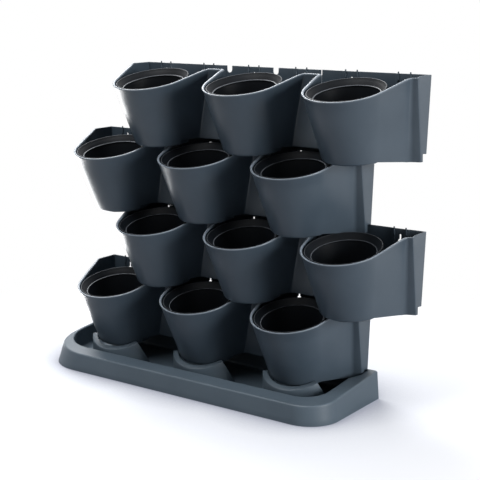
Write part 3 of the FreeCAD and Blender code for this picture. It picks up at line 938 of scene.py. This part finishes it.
    def cutters(self) -> bpy.types.Object:
        """Keyholes between the ribs and drain holes in the feet, as one cutting piece."""
        plan = self.plan
        maker = MeshMaker(self.place)
        slot = plan.key_width / 2
        opening = math.asin(slot / plan.key_radius)
        for x in plan.pair_places():
            outline = arc((x, -plan.key_drop), plan.key_radius, math.pi / 2 + opening,
                          math.pi * 2.5 - opening, 16)
            outline += arc((x, -plan.key_top - slot), slot, 0.0, math.pi, 6)
            maker.stack([maker.ring([(across, y, up) for across, up in outline])
                         for y in (-plan.cut_front, plan.cut_rear)])
        ring = arc((0.0, -plan.drain_reach), plan.drain_ring, math.pi / 2, math.pi * 2.5, DRAIN_HOLES)[:-1]
        for step in (-1, 0, 1):
            for x, y in ring:
                maker.rod(step * plan.pitch + x, y, plan.drain_radius, plan.drain_low, plan.drain_high, 16)
        return maker.build(f"{self.node}_cutters")

    def skirt(self) -> bpy.types.Object:
        """The skirt that hangs into the row below, and the hook on the left end."""
        plan = self.plan
        maker = MeshMaker(self.place)
        stop, slot = plan.left - plan.skirt_inset, plan.left - plan.pitch / 2
        slot_low, slot_high = slot - plan.skirt_slot_half, slot + plan.skirt_slot_half
        near, far = -plan.skirt_front, -plan.skirt_rear
        foot, head = -plan.wall_foot - plan.skirt_hang, -plan.underside + plan.skirt_root
        for low, high in ((-stop, -slot_high), (-slot_low, slot_low), (slot_high, stop)):
            maker.box((low, near, foot), (high, far, head))
        for side in (-1, 1):
            edges = sorted((side * stop, side * (stop - plan.wall)))
            maker.box((edges[0], -plan.side_skirt, foot), (edges[1], near + 1.0, head))
        hook_y = plan.left_corner[1] / 2
        maker.box((-plan.left - plan.hook_reach, hook_y - plan.hook_width, -plan.hook_low),
                  (-plan.left + plan.hook_width, hook_y, -plan.hook_high))
        return maker.build(f"{self.node}_skirt")

    def ribs(self) -> list[bpy.types.Object]:
        """The stiffening ribs in pairs on the inside of the wall, made by the shared rib tree."""
        plan = self.plan
        pieces = []
        first = self.middle + plan.pair_places()[0]
        parts = ((plan.rib_root, plan.rib_foot - plan.underside, -plan.rib_break),
                 (plan.rib_tip_back, -plan.rib_tip_length, plan.rib_tip))
        for side in (-1, 1):
            for number, (root, low, high) in enumerate(parts):
                start = Vector((first + side * plan.rib_gap / 2, self.back - (plan.rib_front + root) / 2,
                                self.level + low))
                name = f"{self.node}_ribs_{side + 1}_{number}"
                pieces.append(RibLine(plan).build(name, start, plan.rib_front - root, high - low))
        return pieces

    def build(self, material: bpy.types.Material) -> bpy.types.Object:
        """Make, join and dress the moulding.

        Args:
            material: The row's plastic.

        Returns:
            The finished piece.
        """
        piece = self.shell()
        cut_away(piece, self.cutters())
        join_pieces(piece, [self.skirt()] + self.ribs())
        dress(piece, material, self.node, self.node)
        return piece


class RibLine:
    """Geometry Nodes tree that stands equal ribs at a pitch along a wall, each narrower at its tip."""

    edge_round = 0.7 * MM
    samples = 24
    taper_start = 0.955
    taper_end = 0.45

    def __init__(self, plan: RowPlan) -> None:
        """Keep the sizes that the ribs take."""
        self.plan = plan

    def tree(self) -> bpy.types.NodeTree:
        """The node tree, made once, with its sizes as named inputs."""
        name = "rib_line"
        if name in bpy.data.node_groups:
            return bpy.data.node_groups[name]
        tree = bpy.data.node_groups.new(name, "GeometryNodeTree")
        add_sockets(tree, "INPUT", {
            "Geometry": "Geometry", "Count": "Int", "Pitch": "Float", "Width": "Float", "Depth": "Float",
            "Height": "Float", "Start": "Vector", "Material": "Material"})
        add_sockets(tree, "OUTPUT", {"Geometry": "Geometry"})
        given = add_node(tree, "NodeGroupInput").outputs
        step = add_node(tree, "ShaderNodeCombineXYZ", inputs={"X": given["Pitch"]})
        line = add_node(tree, "GeometryNodeMeshLine", inputs={
            "Count": given["Count"], "Start Location": given["Start"], "Offset": step.outputs[0]})
        outline = add_node(tree, "GeometryNodeCurvePrimitiveQuadrilateral", inputs={
            "Width": given["Width"], "Height": given["Depth"]})
        rounding = add_node(tree, "GeometryNodeFilletCurve", {"mode": "POLY"}, {
            "Curve": outline.outputs["Curve"], "Count": 3, "Radius": self.edge_round})
        rise = add_node(tree, "ShaderNodeCombineXYZ", inputs={"Z": given["Height"]})
        spine = add_node(tree, "GeometryNodeCurvePrimitiveLine", inputs={"End": rise.outputs[0]})
        sampled = add_node(tree, "GeometryNodeResampleCurve", inputs={
            "Curve": spine.outputs["Curve"], "Count": self.samples})
        factor = add_node(tree, "GeometryNodeSplineParameter")
        taper = add_node(tree, "ShaderNodeMapRange", {"interpolation_type": "SMOOTHSTEP"}, {
            "Value": factor.outputs["Factor"], "From Min": self.taper_start, "From Max": 1.0,
            "To Min": 1.0, "To Max": self.taper_end})
        sweep = add_node(tree, "GeometryNodeCurveToMesh", inputs={
            "Curve": sampled.outputs["Curve"], "Profile Curve": rounding.outputs["Curve"],
            "Scale": taper.outputs[0], "Fill Caps": True})
        place = add_node(tree, "GeometryNodeInstanceOnPoints", inputs={
            "Points": line.outputs["Mesh"], "Instance": sweep.outputs["Mesh"]})
        real = add_node(tree, "GeometryNodeRealizeInstances", inputs={
            "Geometry": place.outputs["Instances"]})
        paint = add_node(tree, "GeometryNodeSetMaterial", inputs={
            "Geometry": real.outputs["Geometry"], "Material": given["Material"]})
        add_node(tree, "NodeGroupOutput", inputs={"Geometry": paint.outputs["Geometry"]})
        return tree

    def build(self, name: str, start: Vector, depth: float, height: float) -> bpy.types.Object:
        """One line of ribs as plain mesh.

        Args:
            name: The piece's name.
            start: Foot of the first rib, in millimetres.
            depth: How far the ribs reach from back to front, in millimetres.
            height: How tall they are, in millimetres.

        Returns:
            The ribs as one piece.
        """
        plan = self.plan
        piece = put(name, bpy.data.meshes.new(name))
        modifier = piece.modifiers.new("ribs", "NODES")
        modifier.node_group = self.tree()
        values = {
            "Count": plan.rib_pairs, "Pitch": plan.rib_pitch * MM, "Width": plan.rib_width * MM,
            "Depth": depth * MM, "Height": height * MM, "Start": start * MM}
        sockets = {item.name: item.identifier for item in modifier.node_group.interface.items_tree
                   if item.in_out == "INPUT"}
        for label, value in values.items():
            modifier[sockets[label]] = value
        apply_modifiers(piece)
        return piece


# The loose inserts


@dataclass(frozen=True)
class InsertPlan:
    """Sizes of a loose pot insert, in its own frame, with its base on Z = 0 and its axis along Z."""

    height: float = 105.5
    tilt: float = 13.2
    reach: float = 76.7
    seat: float = 119.5
    seat_edge: float = 64.0
    hole_radius: float = 3.0
    hole_spread: float = 20.0
    hole_low: float = -3.0
    hole_high: float = 5.0
    turns: int = 112

    def profile(self) -> list[Flat]:
        """Radius and height of the turned wall, from the base's middle outside to its middle inside."""
        tall = self.height
        base = [(0.0, 0.0), (14.0, 0.0), (27.0, 0.0), (37.2, 0.0), (38.4, 0.35), (39.0, 1.3)]
        outside = [(42.7, 25.0), (46.6, 50.0), (50.5, 75.0), (53.9, 96.6), (54.4, 97.1), (55.7, 97.3),
                   (58.6, 99.8), (61.6, 102.3), (62.2, 103.0)]
        rim = [(62.3, 104.3), (62.05, tall - 0.45), (61.5, tall - 0.08), (60.9, tall), (60.35, tall - 0.3),
               (60.0, tall - 1.0)]
        ledge = [(56.8, 101.4), (54.2, 98.4), (53.2, 96.9), (52.7, 96.3), (51.6, 96.1), (51.0, 95.8),
                 (50.9, 95.2), (51.5, 94.6), (52.0, 93.5)]
        inside = [(49.0, 75.0), (45.1, 50.0), (41.2, 25.0), (37.7, 3.0), (36.6, 1.7), (35.0, 1.5),
                  (27.0, 1.5), (14.0, 1.5), (0.0, 1.5)]
        return base + outside + rim + ledge + inside

    def painted_highlight(self) -> list[Flat]:
        """The profile's points on the crest of the rim and on the inner ledge, which get a painted
        highlight.
        """
        return [(60.9, self.height), (51.6, 96.1), (51.0, 95.8)]


class PotInsert:
    """One loose insert that leans forward in its pot."""

    def __init__(self, plan: InsertPlan, row: RowMoulding, place: str) -> None:
        """Take the insert's place from its row.

        Args:
            plan: The insert's sizes.
            row: The row that holds it.
            place: Which of the row's pots it stands in.
        """
        self.plan = plan
        self.node = f"{row.node}_{place}_insert"
        step = PLACES.index(place) - 1
        tilt = math.radians(plan.tilt)
        height = row.level - plan.seat - (plan.reach - plan.seat_edge) * math.tan(tilt)
        self.place = (Matrix.Translation((row.middle + step * row.plan.pitch, row.back - plan.reach, height))
                      @ Matrix.Rotation(tilt, 4, "X"))
        self.turn = math.radians(31.0 * (PLACES.index(place) + len(PLACES) * ROW_NODES.index(row.node)))

    def build(self, material: bpy.types.Material) -> bpy.types.Object:
        """Turn, drill and dress the insert.

        Args:
            material: The insert's plastic.

        Returns:
            The finished piece.
        """
        plan = self.plan
        maker = MeshMaker(self.place)
        rings: list[list[int]] = []
        profile = plan.profile()
        for radius, height in profile[1:-1]:
            circle = arc((0.0, 0.0), radius, 0.0, math.tau, plan.turns)[:-1]
            rings.append(maker.ring([(*spot, height) for spot in circle]))
            # Rings on the rim's crest and the ledge are marked for the painted highlight.
            if (radius, height) in plan.painted_highlight():
                maker.rim_highlights.update(dict.fromkeys(rings[-1], 1.0))
        for below, above in zip(rings, rings[1:]):
            maker.bridge(below, above)
        for ring, (_, height) in ((rings[0], profile[0]), (rings[-1], profile[-1])):
            middle = maker.point(0.0, 0.0, height)
            for index in range(plan.turns):
                maker.faces.append((ring[index], middle, ring[(index + 1) % plan.turns]))
        piece = maker.build(f"{self.node}_pot")
        drill = MeshMaker(self.place)
        for x, y in arc((0.0, 0.0), plan.hole_spread, self.turn, self.turn + math.tau, DRAIN_HOLES)[:-1]:
            drill.rod(x, y, plan.hole_radius, plan.hole_low, plan.hole_high, 20)
        cut_away(piece, drill.build(f"{self.node}_drill"))
        dress(piece, material, self.node, self.node)
        return piece


# The drip tray


@dataclass(frozen=True)
class TrayPlan:
    """Sizes of the drip tray: X from its middle, Y from its rear face, Z from the ground."""

    half: float = 300.0
    front: float = 186.0
    height: float = 48.0
    slope: float = math.tan(math.radians(5.0))
    flare: float = 4.0
    wall: float = 3.0
    floor: float = 6.0
    corner_left: float = 95.0
    corner_left_base: float = 80.0
    corner_right: float = 55.0
    basin_left: float = 9.0
    basin_right: float = 32.0
    bay: float = 10.5
    bay_front: float = 48.0
    bay_rear: float = 26.0
    basin_front: float = 36.0
    basin_corner_left: float = 75.0
    basin_corner_right: float = 40.0
    cradle_radius: float = 66.0
    cradle_wall: float = 9.5
    cradle_turn: float = math.radians(76.0)
    cradle_top_turn: float = math.radians(55.0)
    cradle_drop: float = 2.0
    cradle_fall: float = 14.0
    cradle_level: float = 36.0
    cradle_root: float = 1.5
    cradle_steps: int = 40
    rim_round: float = 3.2
    basin_rim_round: float = 3.0
    basin_floor_round: float = 5.0
    pot_reach: float = 65.9
    pitch: float = 190.0
    rear_cut: float = 0.6
    corner_steps: int = 26
    straight_steps: int = 12

    def top(self, y: float) -> float:
        """Height of the sloping rim above a depth from the rear face."""
        return self.height + y * self.slope


class DripTray:
    """The tray with its sloping rim, its basin and the crescent seats for the bottom row's pots."""

    def __init__(self, plan: TrayPlan, node: str) -> None:
        """Take the tray's place from its CAD node."""
        low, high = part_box(node)
        self.plan = plan
        self.node = node
        self.place = Matrix.Translation(((low.x + high.x) / 2 / MM, high.y / MM, low.z / MM))

    def outline(self, left: float, right: float, front: float, back: float, corners: Flat,
                bay: float = 0.0) -> list[Flat]:
        """A level of the tray in plan, counter-clockwise from its rear left corner.

        Args:
            left: Reach to the left.
            right: Reach to the right.
            front: Reach to the front.
            back: How far the rear stands in.
            corners: Radii of the left and right front corners.
            bay: How much wider the rear of the right side is.

        Returns:
            Points; every level has as many.
        """
        steps = self.plan.corner_steps
        radius_left, radius_right = corners
        cut = self.plan.rear_cut
        shares = [index / self.plan.straight_steps for index in range(1, self.plan.straight_steps)]
        start, finish, wide = -left + radius_left, right - radius_right, right + bay
        points = [(-left, -back - cut), (-left, mix(-back, -front + radius_left, 0.5))]
        points += arc((start, -front + radius_left), radius_left, math.pi, 1.5 * math.pi, steps)
        points += [(mix(start, finish, share), -front) for share in shares]
        points += arc((finish, -front + radius_right), radius_right, 1.5 * math.pi, math.tau, steps)
        points += [(right, -self.plan.bay_front), (wide, -self.plan.bay_rear), (wide, -back - cut),
                   (wide - cut, -back)]
        points += [(mix(wide, -left, share), -back) for share in shares]
        points.append((-left + cut, -back))
        return points

    def outer(self, inset: float, rear: float, share: float = 1.0) -> list[Flat]:
        """The outer wall's outline, set in, at a share of its height; the left corner is tighter below."""
        plan = self.plan
        corner_left = mix(plan.corner_left_base, plan.corner_left, share)
        return self.outline(plan.half - inset, plan.half - inset, plan.front - inset, rear,
                            (corner_left - inset, plan.corner_right - inset))

    def basin(self, inset: float, rear: float) -> list[Flat]:
        """The basin's outline, set in."""
        plan = self.plan
        return self.outline(plan.half - plan.basin_left - inset, plan.half - plan.basin_right - inset,
                            plan.front - plan.basin_front - inset, plan.wall + rear,
                            (plan.basin_corner_left - inset, plan.basin_corner_right - inset), plan.bay)

    def shell(self) -> bpy.types.Object:
        """The tray's shell as one closed piece."""
        plan = self.plan
        maker = MeshMaker(self.place)
        levels: list[list[Point]] = []

        def flat(outline: list[Flat], z: float) -> None:
            """Add a level at one height."""
            levels.append([(x, y, z) for x, y in outline])

        def sloped(outline: list[Flat], drop: float) -> None:
            """Add a level that follows the sloping rim, a drop below it."""
            levels.append([(x, y, plan.top(y) - drop) for x, y in outline])

        under = self.basin(-plan.wall, -plan.wall + 1.0)
        flat(under, 0.0)
        flat(under, 20.0)
        sloped(under, plan.wall)
        sloped(self.outer(plan.flare + plan.wall, 1.6), plan.wall)
        foot = (
            (plan.wall, 1.6, 0.0, 0.0), (0.8, 0.4, 0.0, 0.0), (0.2, 0.1, 0.0, 0.5), (0.05, 0.0, 0.02, 1.4))
        for inset, rear, share, z in foot:
            flat(self.outer(inset, rear, share), z)
        for share in (0.3, 0.6):
            outline = self.outer(plan.flare * share, 0.0, share)
            levels.append([(x, y, plan.top(y) * share) for x, y in outline])
        soft = plan.rim_round
        for inward, upward in quarter(6):
            sloped(self.outer(plan.flare - 0.3 + soft * inward, 0.7 * inward), soft * upward)
        sloped(self.basin(-4.0, -1.2), 0.0)
        soft = plan.basin_rim_round
        for inward, upward in quarter(5):
            sloped(self.basin(-soft * upward, -0.6 * upward), soft * inward)
        soft = plan.basin_floor_round
        for inward, upward in quarter(5):
            flat(self.basin(1.0 + soft * inward, 0.2 + soft * inward), plan.floor + soft * upward)
        flat(self.basin(40.0, 30.0), plan.floor)
        maker.stack([maker.ring(level) for level in levels])
        return maker.build(f"{self.node}_moulding")

    def cradle(self, step: int) -> bpy.types.Object:
        """One crescent seat round the front of a bottom pot.

        Args:
            step: -1, 0 or 1 for the left, middle or right pot.

        Returns:
            The seat as a closed piece.
        """
        plan = self.plan
        maker = MeshMaker(self.place)
        inner = plan.cradle_wall
        rear = -plan.pot_reach - plan.cradle_level
        reach = plan.cradle_radius - plan.cradle_level
        section = (
            (0.0, 0.0, 0.0), (0.0, 0.35, 0.35), (0.0, 0.7, 0.7), (0.0, 0.94, 0.96), (0.5, 0.985, 0.99),
            (1.6, 1.0, 1.0), (inner - 1.2, 1.0, 1.0), (inner, 0.97, 0.98), (inner + 1.0, 0.6, 0.6),
            (inner + 2.0, 0.0, 0.0))
        rings = []
        for index in range(plan.cradle_steps + 1):
            along = mix(-1.0, 1.0, index / plan.cradle_steps)
            places = []
            for inset, rise, share in section:
                angle = -math.pi / 2 + along * mix(plan.cradle_turn, plan.cradle_top_turn, share)
                x = step * plan.pitch + (plan.cradle_radius - inset) * math.cos(angle)
                y = -plan.pot_reach + (plan.cradle_radius - inset) * math.sin(angle)
                fall = min(1.0, max(0.0, (rear - y) / reach))
                peak = plan.height - plan.cradle_drop - plan.cradle_fall * fall
                places.append((x, y, mix(plan.floor - plan.cradle_root, peak, rise)))
            rings.append(maker.ring(places))
        maker.stack(rings)
        return maker.build(f"{self.node}_seat_{step + 1}")

    def build(self, material: bpy.types.Material) -> bpy.types.Object:
        """Make and dress the tray.

        Args:
            material: The tray's plastic.

        Returns:
            The finished piece.
        """
        piece = self.shell()
        join_pieces(piece, [self.cradle(step) for step in (-1, 0, 1)])
        dress(piece, material, "tray", self.node)
        return piece


# Camera, floor and light


@dataclass(frozen=True)
class Lamp:
    """One soft lamp, in metres and watts, and the point that it faces."""

    name: str
    place: Point
    size: Flat
    power: float
    aim: Point = (0.0, 0.0, 0.25)

    def hang(self) -> None:
        """Hang the lamp in the scene, out of the camera's sight."""
        data = bpy.data.lights.new(self.name, "AREA")
        data.shape = "RECTANGLE"
        data.size, data.size_y = self.size
        data.energy = self.power
        lamp = put(self.name, data)
        lamp.location = self.place
        facing = Vector(self.aim) - Vector(self.place)
        lamp.rotation_euler = facing.to_track_quat("-Z", "Y").to_euler()
        lamp.visible_camera = False


LAMPS = (
    Lamp("right_key", (3.8, -0.4, 0.95), (1.4, 1.4), 145.0),
    Lamp("back_high", (-1.7, 1.3, 2.5), (1.6, 1.2), 90.0),
    Lamp("left_floor", (-1.2, 0.65, 0.02), (1.6, 1.3), 55.0, aim=(-1.2, 0.65, 1.0)),
    Lamp("top_soft", (-0.6, 0.5, 3.2), (2.2, 2.2), 30.0),
    Lamp("front_top", (-0.5, -1.3, 3.0), (1.6, 1.6), 75.0),
)


@dataclass(frozen=True)
class Studio:
    """The camera at the photograph's viewing angle, a pale floor and soft light.

    The floor has one tone as light and another one for the camera, carries a painted shadow that darkens it
    under the object within the painted shadow's reach, and fades into plain white between its near and far
    distance.
    """

    camera_place: Point = (1157.0, -1558.5, 668.6)
    azimuth: float = 35.54
    elevation: float = 12.06
    focal: float = 88.44
    sensor: float = 36.0
    clip_end: float = 100.0
    floor_half: float = 30.0
    floor_tone: Colour = (0.38, 0.39, 0.42, 1.0)
    floor_seen_tone: Colour = (0.6, 0.615, 0.66, 1.0)
    floor_glow: float = 0.25
    floor_glow_tone: Colour = (0.97, 0.98, 1.0, 1.0)
    floor_near: float = 0.3
    floor_far: float = 0.8
    # Painted shadow on the floor near the object: ambient occlusion blends a dark tone in for the camera.
    painted_shadow_reach: float = 0.14
    painted_shadow_start: float = 0.55
    painted_shadow_share: float = 1.0
    painted_shadow_tone: Colour = (0.34, 0.36, 0.44, 1.0)
    painted_shadow_samples: int = 12
    surround: float = 0.13

    def camera(self) -> None:
        """Place the camera."""
        data = bpy.data.cameras.new("camera")
        data.sensor_fit = "HORIZONTAL"
        data.sensor_width = self.sensor
        data.lens = self.focal
        data.clip_end = self.clip_end
        camera = put("camera", data)
        camera.location = Vector(self.camera_place) * MM
        camera.rotation_euler = (math.radians(90.0 - self.elevation), 0.0, math.radians(self.azimuth))
        bpy.context.scene.camera = camera

    def floor(self) -> None:
        """Lay a wide pale floor that keeps the object's shadow and runs out into plain white."""
        half = self.floor_half
        mesh = bpy.data.meshes.new("floor")
        mesh.from_pydata([(-half, -half, 0.0), (half, -half, 0.0), (half, half, 0.0), (-half, half, 0.0)],
                         [], [(0, 1, 2, 3)])
        floor = put("floor", mesh)
        mesh.materials.append(self.floor_material())

    def floor_material(self) -> bpy.types.Material:
        """Build the floor's material.

        Returns:
            A matt tone with a painted shadow near the object, and plain white further out.
        """
        made = new_material("pale_floor")
        tree = made.node_tree
        tree.nodes.remove(tree.nodes["Principled BSDF"])
        seen = add_node(tree, "ShaderNodeLightPath").outputs["Is Camera Ray"]
        tone = add_node(tree, "ShaderNodeMix", {"data_type": "RGBA"}, {
            "Factor": seen, "A": self.floor_tone, "B": self.floor_seen_tone})
        matt = add_node(tree, "ShaderNodeBsdfDiffuse", inputs={"Color": tone.outputs["Result"]})
        glow = add_node(tree, "ShaderNodeEmission", inputs={
            "Color": self.floor_glow_tone, "Strength": math_of(tree, "MULTIPLY", seen, self.floor_glow)})
        near = add_node(tree, "ShaderNodeAddShader", inputs={0: matt.outputs[0], 1: glow.outputs[0]})
        # Painted shadow: where ambient occlusion finds the object close, the camera sees a dark tone mixed
        # in.
        occlusion = add_node(tree, "ShaderNodeAmbientOcclusion", {"samples": self.painted_shadow_samples}, {
            "Distance": self.painted_shadow_reach})
        painted_shadow_mask = add_node(tree, "ShaderNodeMapRange", inputs={
            "Value": occlusion.outputs["AO"], "From Min": self.painted_shadow_start, "From Max": 1.0,
            "To Min": self.painted_shadow_share, "To Max": 0.0})
        painted_shadow = add_node(tree, "ShaderNodeEmission", inputs={"Color": self.painted_shadow_tone})
        with_painted_shadow = add_node(tree, "ShaderNodeMixShader", inputs={
            "Fac": math_of(tree, "MULTIPLY", painted_shadow_mask.outputs[0], seen),
            1: near.outputs[0], 2: painted_shadow.outputs[0]})
        place = add_node(tree, "ShaderNodeTexCoord")
        reach = add_node(tree, "ShaderNodeVectorMath", {"operation": "LENGTH"}, {
            0: place.outputs["Object"]})
        fade = add_node(tree, "ShaderNodeMapRange", {"interpolation_type": "SMOOTHSTEP"}, {
            "Value": reach.outputs["Value"], "From Min": self.floor_near, "From Max": self.floor_far})
        plain = add_node(tree, "ShaderNodeEmission")
        both = add_node(tree, "ShaderNodeMixShader", inputs={
            "Fac": math_of(tree, "MULTIPLY", fade.outputs[0], plain_rays(tree)),
            1: with_painted_shadow.outputs[0], 2: plain.outputs[0]})
        tree.links.new(both.outputs[0], tree.nodes["Material Output"].inputs["Surface"])
        return made

    def world(self) -> None:
        """A white surround, plain to the camera and in reflections, and soft as light."""
        world = bpy.data.worlds.new("studio")
        bpy.context.scene.world = world
        world.use_nodes = True
        tree = world.node_tree
        strength = add_node(tree, "ShaderNodeMapRange", inputs={
            "Value": plain_rays(tree), "To Min": self.surround, "To Max": 1.0})
        background = tree.nodes["Background"]
        background.inputs["Color"].default_value = (1.0, 1.0, 1.0, 1.0)
        tree.links.new(strength.outputs[0], background.inputs["Strength"])

    def build(self) -> None:
        """Set up everything that isn't the object."""
        self.camera()
        self.floor()
        self.world()
        for lamp in LAMPS:
            lamp.hang()
        bpy.context.scene.view_settings.view_transform = "Standard"


def main() -> None:
    """Build the tower in order, from the tray up, and the studio round it."""
    logging.basicConfig(level=logging.INFO, format="%(name)s: %(message)s")
    row_plastic = ANTHRACITE.material()
    tray_plastic = ANTHRACITE_TRAY_PAINTED_LIGHTER.material()
    insert_plastic = BLACK_INSERT.material()
    DripTray(TrayPlan(), "drip_tray").build(tray_plastic)
    for node in ROW_NODES:
        row = RowMoulding(RowPlan(), node)
        row.build(row_plastic)
        for place in PLACES:
            PotInsert(InsertPlan(), row, place).build(insert_plastic)
    Studio().build()
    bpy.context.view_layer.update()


if __name__ == "__main__":
    main()
